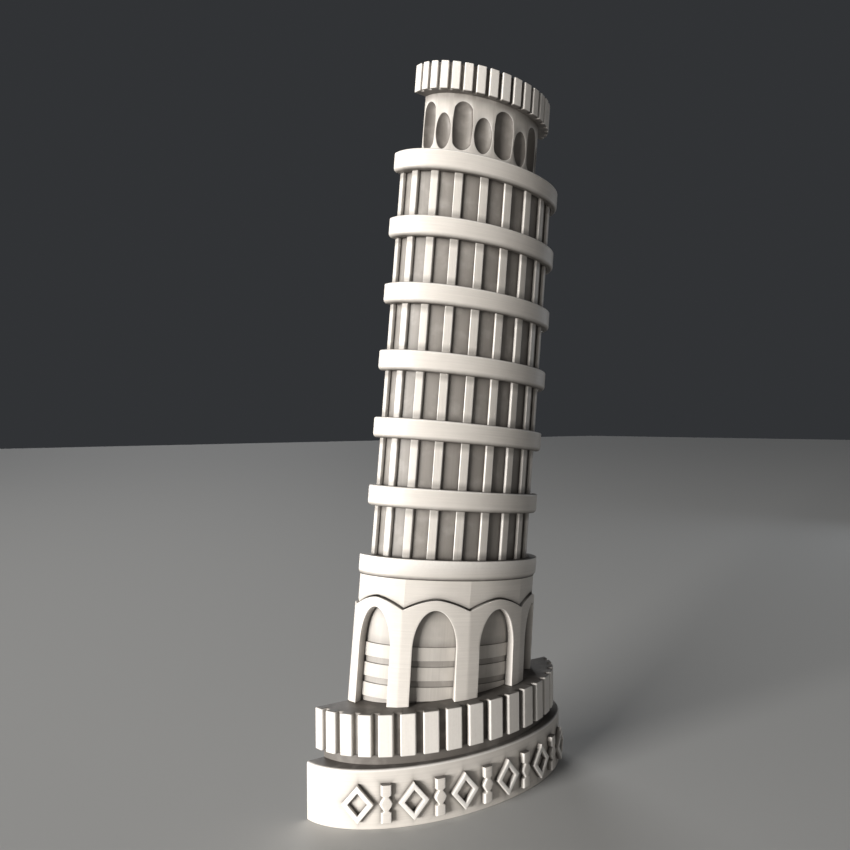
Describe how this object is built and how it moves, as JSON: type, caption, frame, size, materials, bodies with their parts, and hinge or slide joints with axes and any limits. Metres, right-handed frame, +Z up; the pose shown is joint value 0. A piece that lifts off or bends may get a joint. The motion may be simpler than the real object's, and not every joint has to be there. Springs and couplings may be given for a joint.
{
  "type": "miniature landmark model",
  "caption": "Flat-backed half-round relief of a leaning bell tower: arcaded foot, stacked colonnaded storeys with cornices, niched bell chamber and a block-edged crown on a curved plinth.",
  "frame": {"origin": "middle of the plinth's underside, on the surface that the model stands on, halfway between the flat back and the front of the plinth", "axes": "+Z up, +X to the right of someone facing the relief (the side that the tower leans to), +Y out of the flat back"},
  "size_m": [0.0705, 0.0188, 0.17],
  "materials": {
    "cast_stone": "warm bone-white cast stone, satin, with fine tool striations and a grey-brown patina in the recesses"
  },
  "bodies": {
    "root": {"arcade_core": "cast_stone", "arcade_drum": "cast_stone", "arcade_shell": "cast_stone", "bell_chamber": "cast_stone", "colonnade_1": "cast_stone", "colonnade_2": "cast_stone", "colonnade_3": "cast_stone", "colonnade_4": "cast_stone", "colonnade_5": "cast_stone", "colonnade_6": "cast_stone", "cornice_1": "cast_stone", "cornice_2": "cast_stone", "cornice_3": "cast_stone", "cornice_4": "cast_stone", "cornice_5": "cast_stone", "cornice_6": "cast_stone", "cornice_7": "cast_stone", "crown": "cast_stone", "frieze_baluster_1": "cast_stone", "frieze_baluster_2": "cast_stone", "frieze_baluster_3": "cast_stone", "frieze_baluster_4": "cast_stone", "frieze_baluster_5": "cast_stone", "frieze_lozenge_1": "cast_stone", "frieze_lozenge_2": "cast_stone", "frieze_lozenge_3": "cast_stone", "frieze_lozenge_4": "cast_stone", "frieze_lozenge_5": "cast_stone", "frieze_lozenge_6": "cast_stone", "gallery": "cast_stone", "neck_course": "cast_stone", "plinth": "cast_stone", "storey_drum_1": "cast_stone", "storey_drum_2": "cast_stone", "storey_drum_3": "cast_stone", "storey_drum_4": "cast_stone", "storey_drum_5": "cast_stone", "storey_drum_6": "cast_stone"}
  },
  "joints": []
}
